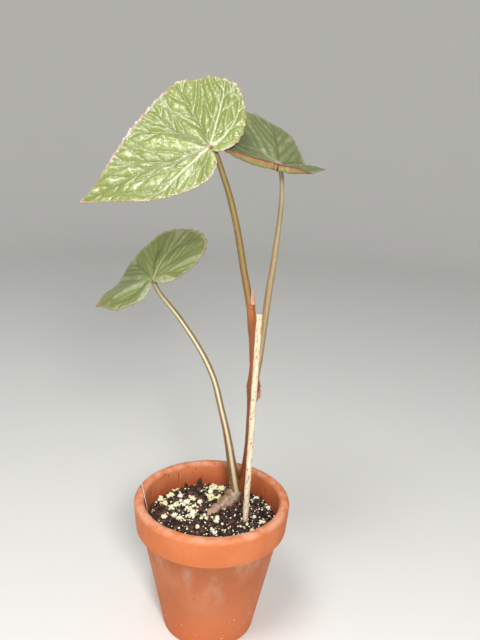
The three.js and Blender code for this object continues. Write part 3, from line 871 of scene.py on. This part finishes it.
def strides(line):
    """Close points along a smooth line, each as (place, direction, share of the length)."""
    corners = [Vector(p) for p in line]
    steps = round(sum((b - a).length for a, b in zip(corners, corners[1:])) / STRIDE)
    spots = [through(corners, i / steps) for i in range(steps + 1)]
    return [(a, (b - a).normalized(), i / steps) for i, (a, b) in enumerate(zip(spots, spots[1:]))]


def search_tree(places):
    """A tree that finds the nearest of these flat places."""
    tree = KDTree(len(places))
    for i, place in enumerate(places):
        tree.insert((place.x, place.y, 0), i)
    tree.balance()
    return tree


def grow_veins(leaf):
    """The main veins and all veins, each as a search tree with what is known of its points."""
    mains = [(place, ahead, share, number, kind)
             for number, (kind, line) in enumerate(leaf["veins"]) for place, ahead, share in strides(line)]
    near_main = search_tree([main[0] for main in mains])
    grown = [(place, 1 - 0.45 * share) for place, _, share, _, _ in mains]
    every = round(leaf["branch_gap"] / STRIDE / 2)
    for i in range(every, len(mains), every):
        place, ahead, share, number, _ = mains[i]
        if place.length < BARE_HEART:
            continue
        side = 1 if (i // every) % 2 else -1
        heading = ahead.copy()
        heading.rotate(Matrix.Rotation(side * math.radians(leaf["branch_turn"]), 2))
        for step in range(1, round(BRANCH_REACH / STRIDE)):
            place = place + heading * STRIDE
            heading = (heading + ahead * BEND).normalized()
            _, nearest, off = near_main.find((place.x, place.y, 0))
            if mains[nearest][3] != number and off < CLEARANCE:
                break
            grown.append((place, 0.65 - 0.4 * step * STRIDE / BRANCH_REACH))
    return near_main, mains, search_tree([place for place, _ in grown]), grown


# %% [markdown]
# A blade starts as a flat grid, like a stalk. This time it is bent right
# round into a fan: one side of the grid becomes the point where the stalk is
# joined, the other becomes the margin, and the two ends meet. Its rows crowd
# together near the margin, where the teeth are.
#
# The blade's surface is then lifted off its plane by its sag, its folds, its
# puffed panels and a gentle wave. Main veins lie in valleys, side veins in
# furrows, and the panels between them are crumpled into smaller puffs, which
# are the cells of a Voronoi pattern. A Solidify modifier gives the blade the
# thickness of a leaf downwards, and a third finish for its thin edge.

# %% Shaping a blade
BLADE_THICKNESS = 0.45
TEETH = [(6.3, 0.6), (2.1, 0.4)]  # distance from tooth to tooth, and its share of the depth
TEETH_DRIFT = 9  # mm of margin over which the teeth's spacing changes
FULL_CURL = 100  # degrees that a curled margin turns through at most
ROWS_CROWD = 1.3  # over 1 crowds a blade's rows together near its margin


def blade_axes(leaf):
    """The midrib's direction, the direction across it, and the way the upper side faces."""
    elevation, azimuth, turn = (math.radians(leaf[k]) for k in ("elevation", "azimuth", "turn"))
    up = Vector((math.sin(azimuth) * math.cos(elevation), -math.cos(azimuth) * math.cos(elevation),
                 math.sin(elevation)))
    level = Vector((0, 0, 1)).cross(up).normalized()
    midrib = level * math.cos(turn) + up.cross(level) * math.sin(turn)
    return midrib, up.cross(midrib), up


def sag(leaf, x, y):
    """How far the blade lies over its plane, before quilting."""
    bearing = math.degrees(math.atan2(y, x))
    slope = 0.0
    for centre, spread, rise in leaf["lifts"]:
        away = (bearing - centre + 180) % 360 - 180
        slope += rise * math.exp(-(away / spread) ** 2)
    return math.hypot(x, y) * slope - leaf["droop"] * (max(x, 0) / leaf["outline"][0][0]) ** 2


def tooth(length):
    """How far a toothed margin stands out after so many mm, from 0 in a notch to about 1 at a tip."""
    shift = 0.5 * noise.noise(Vector((length / TEETH_DRIFT, 0, 0)))
    return sum(share * ((length / gap + shift) % 1) ** 1.5 for gap, share in TEETH)


def margin_of(leaf):
    """The toothed margin, as a list of places with one for each spoke."""
    corners = [Vector(p) for p in leaf["outline"]]
    corners.append(corners[0])
    spokes = (len(corners) - 1) * leaf["spokes"]
    smooth = [through(corners, i / spokes) for i in range(spokes + 1)]
    toothed, length = [], 0.0
    for i, spot in enumerate(smooth):
        length += (spot - smooth[max(i - 1, 0)]).length
        bite = leaf["tooth"] * tooth(length) * min(1.0, max(0.0, spot.length / 8 - 1))
        toothed.append(spot + spot.normalized() * bite)
    toothed[-1] = toothed[0]
    return toothed


def curled(curl, spoke, reach):
    """Where a spot at a reach along a spoke goes once the margin is curled up: (reach, lift)."""
    bearing = math.degrees(math.atan2(spoke.y, spoke.x))
    away = abs((bearing - curl["centre"] + 180) % 360 - 180) / curl["half"]
    gap_centre, gap_half = curl["gap"]
    share = max(0.0, 1 - away ** 6) * min(1.0, (abs(bearing - gap_centre) / gap_half) ** 2)
    share *= min(1.0, max(0.0, spoke.length / 10 - 0.5))
    bend = curl["round"]
    past = reach * (spoke.length + curl["height"] * share) - (spoke.length - bend * share)
    if past <= 0 or share <= 0:
        return reach * (spoke.length + curl["height"] * share), 0.0
    angle = min(past / bend, math.radians(FULL_CURL) * share)
    straight = past - bend * angle
    out = spoke.length - bend * share + bend * math.sin(angle) + straight * math.cos(angle)
    return out, bend * (1 - math.cos(angle)) + straight * math.sin(angle)


# %% The blade's mesh
MARKS = ("panel", "vein", "pale", "glint_vein", "dark", "edge", "border", "heart", "deep", "dry")
LINE_WIDTHS = {"pale": 0.7, "glint_vein": 0.85, "dark": 0.5}  # half widths of the lines at the stalk
HALF_WIDTHS = {"furrow": 1.9, "valley": 2.6, "edge": 0.9, "border": 2.6, "heart": 2.2}
SEAM = 0.3  # half width of the seam between two small puffs, as a share of a puff
WAVE_LENGTH = 13  # mm from wave to wave of the blade
WAVE_FROM = Vector((0, 0, 7))  # where in the noise the waves are read


def near(off, width):
    """1 on a line and fading to nothing a little over a width away from it."""
    return math.exp(-(off / width) ** 2)


def crumple(leaf, veins, flat, spoke, reach):
    """The marks of a spot of the blade, and how far it stands over its sagging plane."""
    near_main, mains, near_any, grown = veins
    place = Vector((*flat, 0))
    _, at_main, off_main = near_main.find(place)
    _, at_any, off_any = near_any.find(place)
    share, kind, strength = mains[at_main][2], mains[at_main][4], grown[at_any][1]
    cell = noise.voronoi(place / leaf["puff_size"])[0]
    small = 1 - near(cell[1] - cell[0], SEAM)
    panel = 1 - near(off_any, HALF_WIDTHS["furrow"])
    to_margin = (1 - reach) * spoke.length
    fade = min(1.0, 0.25 + to_margin / 4) * min(1.0, flat.length / 12)
    height = fade * leaf["puff"] * panel * (0.5 + 0.5 * small)
    height -= fade * leaf["valley"] * (1 - 0.6 * share) * near(off_main, HALF_WIDTHS["valley"])
    height += leaf["wave"] * reach ** 3 * noise.noise(place / WAVE_LENGTH + WAVE_FROM)
    marks = {"panel": panel * (0.4 + 0.6 * small), "vein": strength * near(off_any, 0.4 + 0.3 * strength),
             "heart": near(flat.length, HALF_WIDTHS["heart"])}
    for mark in ("edge", "border"):
        marks[mark] = near(to_margin, HALF_WIDTHS[mark])
    if kind != "plain":
        marks[kind] = near(off_main, LINE_WIDTHS[kind] * (1 - 0.5 * share)) * (1 - share) ** leaf["fade"]
    for mark, (x, y, wide) in leaf["patches"].items():
        marks[mark] = near(math.hypot(flat.x - x, flat.y - y), wide)
    return marks, height


def blade(leaf):
    """A blade's upper surface, with the marks of its finish on its corners."""
    bench = bmesh.new()
    layers = {mark: bench.verts.layers.float.new(mark) for mark in MARKS}
    margin, veins = margin_of(leaf), grow_veins(leaf)
    spokes = len(margin) - 1
    midrib, side, up = blade_axes(leaf)
    folds = [(depth, wide, search_tree([place for place, _, _ in strides(line)]))
             for depth, wide, line in leaf["folds"]]
    bmesh.ops.create_grid(bench, x_segments=spokes, y_segments=leaf["rows"], size=0.5)
    for vert in bench.verts:
        spoke = margin[round((vert.co.x + 0.5) * spokes)]
        reach = 1 - (0.5 - vert.co.y) ** ROWS_CROWD
        flat, lift = spoke * reach, 0.0
        if "curl" in leaf:
            out, lift = curled(leaf["curl"], spoke, reach)
            flat = spoke.normalized() * out
        marks, height = crumple(leaf, veins, flat, spoke, reach)
        for depth, wide, line in folds:
            height -= depth * near(line.find((*flat, 0))[2], wide)
        for mark, value in marks.items():
            vert[layers[mark]] = value
        height += sag(leaf, *flat) + lift
        spot = Vector(leaf["at"]) + midrib * flat.x + side * flat.y + up * height
        vert.co = POT_AXIS + spot * MM
    bmesh.ops.remove_doubles(bench, verts=bench.verts, dist=0.004 * MM)
    bmesh.ops.recalc_face_normals(bench, faces=bench.faces)
    if sum((face.normal * face.calc_area() for face in bench.faces), Vector()).dot(up) < 0:
        bmesh.ops.reverse_faces(bench, faces=bench.faces)
    return bench


# %% [markdown]
# A young begonia leaf is waxy and bright green. Its panels are paler than the
# furrows between them, its midrib is a dusky pink, and its margin is edged
# with pink. Older leaves are duller and greyer. The marks on the blade's
# corners place those colours, and fine noise breaks them up. The net of the
# smallest veins shows as a fine relief only. It is drawn about 2 mm from vein
# to vein, because a finer net wouldn't show in the picture.

# %% Leaf finishes
def marks_of(leaf):
    """What the blade's marks say at each spot, by name."""
    return {mark: leaf.node("ShaderNodeAttribute", attribute_name=mark).outputs["Fac"] for mark in MARKS}


def vein_net(leaf, on_vein, off_vein):
    """The finest veins, in areas about 2 mm across. They are sunk where off_vein is the larger."""
    net = leaf.node("ShaderNodeTexVoronoi", {"Vector": leaf.place, "Scale": spots_of(2.1)},
                    feature="DISTANCE_TO_EDGE").outputs["Distance"]
    leaf.relief(leaf.where((net, on_vein, off_vein)), 0.09)


def leaf_face(name, shade, gloss, wax):
    """The upper side of a blade: a clear wax over its shades of green."""
    leaf = Finish(name, shade["green"], Roughness=gloss, IOR=1.45, Coat_Weight=wax, Coat_Roughness=0.28,
                  Coat_IOR=1.45)
    read = marks_of(leaf)
    leaf.coat(shade["fresh"], leaf.spots(13, 0.3, 0.7, 4))
    leaf.coat(shade["furrow"], (read["panel"], 1, 0))
    # painted sheen: pale patches on the raised panels, kept off the deep patch, stand in for the wax's
    # glints
    leaf.coat(shade["painted_sheen"], leaf.spots(7, 0.46, 0.64), read["panel"], (read["deep"], 0.8, 0.2))
    leaf.coat(shade["furrow"], leaf.spots(1.3, 0.4, 0.65), 0.25)
    leaf.coat(shade["line"], (read["vein"], 0.1, 0.7), 0.6)
    leaf.coat(shade["furrow"], read["deep"], 0.85)
    # the pale, dark and heart marks are the leaf's own colours; the other is a painted highlight along some
    # main veins
    for mark in ("pale", "glint_vein", "dark", "heart"):
        leaf.coat(shade[mark], read[mark], 0.8)
    # the margin's own two colours are mixed first, and the mixture is laid on in broken lengths
    two_colours = {0: leaf.spots(40, 0.45, 0.55), COLOUR_IN: shade["edge"], COLOUR_IN + 1: shade["aged"]}
    margin = leaf.node("ShaderNodeMix", two_colours, data_type="RGBA").outputs[COLOUR_OUT]
    leaf.coat(margin, (read["border"], 0.5, 0.9), leaf.spots(2.2, 0.25, 0.5))
    leaf.coat("#9A7A50", read["dry"])
    vein_net(leaf, 0, 0.18)
    leaf.relief(leaf.cloud(2.8, 1), 0.2)
    return leaf.material


def leaf_back():
    """The under side: dull and yellow-green, with raised reddish veins and a salmon margin."""
    leaf = Finish("leaf_under_side", "#7A7C42", Roughness=0.55, IOR=1.42)
    read = marks_of(leaf)
    leaf.coat("#8E8C54", leaf.spots(9, 0.35, 0.65))
    for mark in ("vein", "pale", "glint_vein", "dark", "heart"):
        leaf.coat("#82583E", read[mark], 0.7)
    leaf.coat("#98664A", (read["border"], 0.2, 0.8), leaf.spots(3.5, 0.35, 0.55))
    leaf.coat("#5E271C", (read["edge"], 0.5, 0.9), leaf.spots(3, 0.25, 0.5))
    vein_net(leaf, 0.18, 0)
    return leaf.material


def leaf_edge():
    """The thin cut of a blade: pinkish and dry."""
    leaf = Finish("leaf_margin", "#80574E", Roughness=0.6, IOR=1.42)
    leaf.coat("#777048", leaf.spots(4, 0.35, 0.65))
    return leaf.material


# %% The three blades
SHADES = {
    # what it colours: on leaf 1, on leaf 2, on leaf 3
    "furrow": ("#76813C", "#646B44", "#737B46"), "green": ("#909B54", "#848A60", "#989C7A"),
    "fresh": ("#9CA55E", "#76863E", "#A2A486"), "painted_sheen": ("#CCD0B2", "#989A74", "#A4A88C"),
    "pale": ("#8C7266", "#9A9C7C", "#E6E0B4"), "glint_vein": ("#CACCAA", "#B0A69C", "#B2B888"),
    "line": ("#5E6A38", "#58603A", "#56622E"), "dark": ("#3E2E2C", "#5C4A38", "#545E28"),
    "heart": ("#AC8C74", "#B59A86", "#B4AA70"), "edge": ("#BC9C9A", "#847E62", "#8E8662"),
    "aged": ("#9A8C5C", "#867A68", "#9C9870"),
}
BLADES = [
    # shape, material slot, roughness, how much wax
    (LEAF_1, "young_leaf", 0.3, 0.9),
    (LEAF_2, "older_leaf", 0.42, 0.12),
    (LEAF_3, "older_leaf", 0.42, 0.12),
]

back, rim = leaf_back(), leaf_edge()
for i, (leaf, slot, gloss, wax) in enumerate(BLADES):
    shade = {mark: shades[i] for mark, shades in SHADES.items()}
    finishes = [leaf_face(f"waxy_leaf_{i + 1}", shade, gloss, wax), back, rim]
    made = piece(f"blade_{i + 1}", blade(leaf), finishes, [f"leaf_{i + 1}"], turned_out=False)
    solid = made.modifiers.new("thickness", "SOLIDIFY")
    solid.thickness = BLADE_THICKNESS * MM
    solid.offset = -1
    solid.material_offset = 1
    solid.material_offset_rim = 2

# %% [markdown]
# ## Stipules
#
# Where a stalk leaves the cane, a dry scale stays behind that once wrapped
# the bud. Each is a thin, papery tongue that clasps the stem. The upper one is
# still pink, and the older one at the node has turned brown.

# %% Papery scales
STIPULES = {
    "scale_upper": {"node": "upper_stipule", "at": (22.8, 18.1, 234.4), "lean": (-0.16, -0.02, 1),
                    "length": 10, "radius": 1.5, "facing": -60, "tones": ("#D2A592", "#BA8472")},
    "scale_node": {"node": "node_stipule", "at": (29.4, 18, 167.5), "lean": (0.06, -0.05, 1),
                   "length": 7, "radius": 1.6, "facing": -50, "tones": ("#B07C5C", "#84492C")},
}


CLASP = 230  # degrees of the stem that a scale goes round
SCALE_THICKNESS = 0.25


def fibrous(name, light, dark, size_mm, depth_mm, squeeze, **even):
    """Dry, matt tissue. Both its shade and its relief follow fibres that run upright."""
    dry = Finish(name, light, **even)
    fibres = dry.spots(size_mm, 0.35, 0.65, 3, (1, 1, squeeze))
    dry.coat(dark, fibres)
    dry.relief(fibres, depth_mm)
    return dry.material


def clasping_scale(shape):
    """A grid bent round the stem, drawn to a point at its top and thickened."""
    bench = bmesh.new()
    bmesh.ops.create_grid(bench, x_segments=16, y_segments=24, size=0.5)
    lean = Vector((0, 0, 1)).rotation_difference(Vector(shape["lean"]))
    for vert in bench.verts:
        share = vert.co.y + 0.5
        wide = (1 - share ** 2.2) * min(1, 0.75 + share)
        angle = math.radians(shape["facing"] + CLASP * vert.co.x * max(wide, 0.02))
        radius = shape["radius"] * (0.75 + 0.25 * wide)
        spot = Vector((radius * math.cos(angle), radius * math.sin(angle), share * shape["length"]))
        spot.x += 0.25 * noise.noise(spot / 3)
        spot.rotate(lean)
        vert.co = POT_AXIS + (Vector(shape["at"]) + spot) * MM
    bmesh.ops.remove_doubles(bench, verts=bench.verts, dist=0.01 * MM)
    bmesh.ops.solidify(bench, geom=bench.faces, thickness=SCALE_THICKNESS * MM)
    return bench


for name, shape in STIPULES.items():
    finish = fibrous(f"papery_{name}", *shape["tones"], 0.6, 0.06, 0.1, Roughness=0.7, IOR=1.4)
    piece(name, clasping_scale(shape), [finish], [shape["node"]])

# %% [markdown]
# ## Stake and label
#
# The stake is a split and rounded stick of bamboo, pale cream with brown
# flecks along its fibres, cut off flat at the top. The label is a thin white
# plastic strip pushed down by the wall, seen edge on. It is left plain.

# %% Stake
STAKE = [(22.4, -7.9, 24, 1.75), (23.3, -7.9, 78, 1.95), (24.2, -7.9, 130, 1.95), (25, -7.9, 180, 1.95),
         (25.9, -7.9, 235.4, 1.95)]

# the paler colour at its lower end is painted light, set against the shade that falls low on the stake
bamboo = stem_skin("split_bamboo", "#F8E8D2", "#E2D2B6", "#B4906A", "#8A5E3C", gloss=0.5, wax=0,
                   fibre_mm=0.12, marks_from=0.6, marked=0.7, foot=("#7A5638", 0.305, 0.284))
stick = rolled_stem(STAKE, 24, 160, lumps=0.2, lump_size=4)
piece("stake_rod", stick, [bamboo], ["bamboo_stake"])

# %% Label
LABEL = {
    "line": [(-39.8, 1, 58), (-43.2, 1, 74), (-45, 1, 84), (-46.2, 1, 94), (-47.4, 1, 100),
             (-49.6, 1, 111.5)],
    "across": (-0.2, 1, 0), "width": 8, "thickness": 1.6, "pointed": 0.2, "tip": 0.04,
}


def plain_strip():
    """A strip with a pointed foot, bent outwards over the pot's rim."""
    line, across = [Vector(p) for p in LABEL["line"]], Vector(LABEL["across"])
    bench = bmesh.new()
    bmesh.ops.create_grid(bench, x_segments=8, y_segments=60, size=0.5)
    for vert in bench.verts:
        share = vert.co.y + 0.5
        wide = LABEL["width"] * min(1, share / LABEL["pointed"] + LABEL["tip"])
        vert.co = POT_AXIS + (through(line, share) + across * vert.co.x * wide) * MM
    bmesh.ops.solidify(bench, geom=bench.faces, thickness=LABEL["thickness"] * MM)
    return bench


def white_plastic():
    """Moulded polystyrene: white, softly shiny, a little scuffed."""
    strip = Finish("white_polystyrene", "#F4F4F2", IOR=1.5)
    scuffed = strip.spots(1.5, 0.4, 0.7)
    strip.coat("#E4E3DE", scuffed)
    dulled = strip.node("ShaderNodeMapRange", {"Value": scuffed, "To Min": 0.35, "To Max": 0.55})
    strip.tree.links.new(dulled.outputs["Result"], strip.shader.inputs["Roughness"])
    return strip.material


piece("label_strip", plain_strip(), [white_plastic()], ["plant_label"], smooth=False)

# %% [markdown]
# ## Roots
#
# The roots run down through the mix, where nobody sees them. Their shapes
# stay as the model has them and get a finish that is as fibrous as the
# scales', in pale tan.

# %% Root skin
root_skin = fibrous("fibrous_root_skin", "#C2A27C", "#9C7B58", 0.8, 0.1, 0.2, Roughness=0.8, IOR=1.42)
for name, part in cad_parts.items():
    if name.startswith("root_"):
        part.data.materials.clear()
        part.data.materials.append(root_skin)
        print(name, "has", root_skin.name)
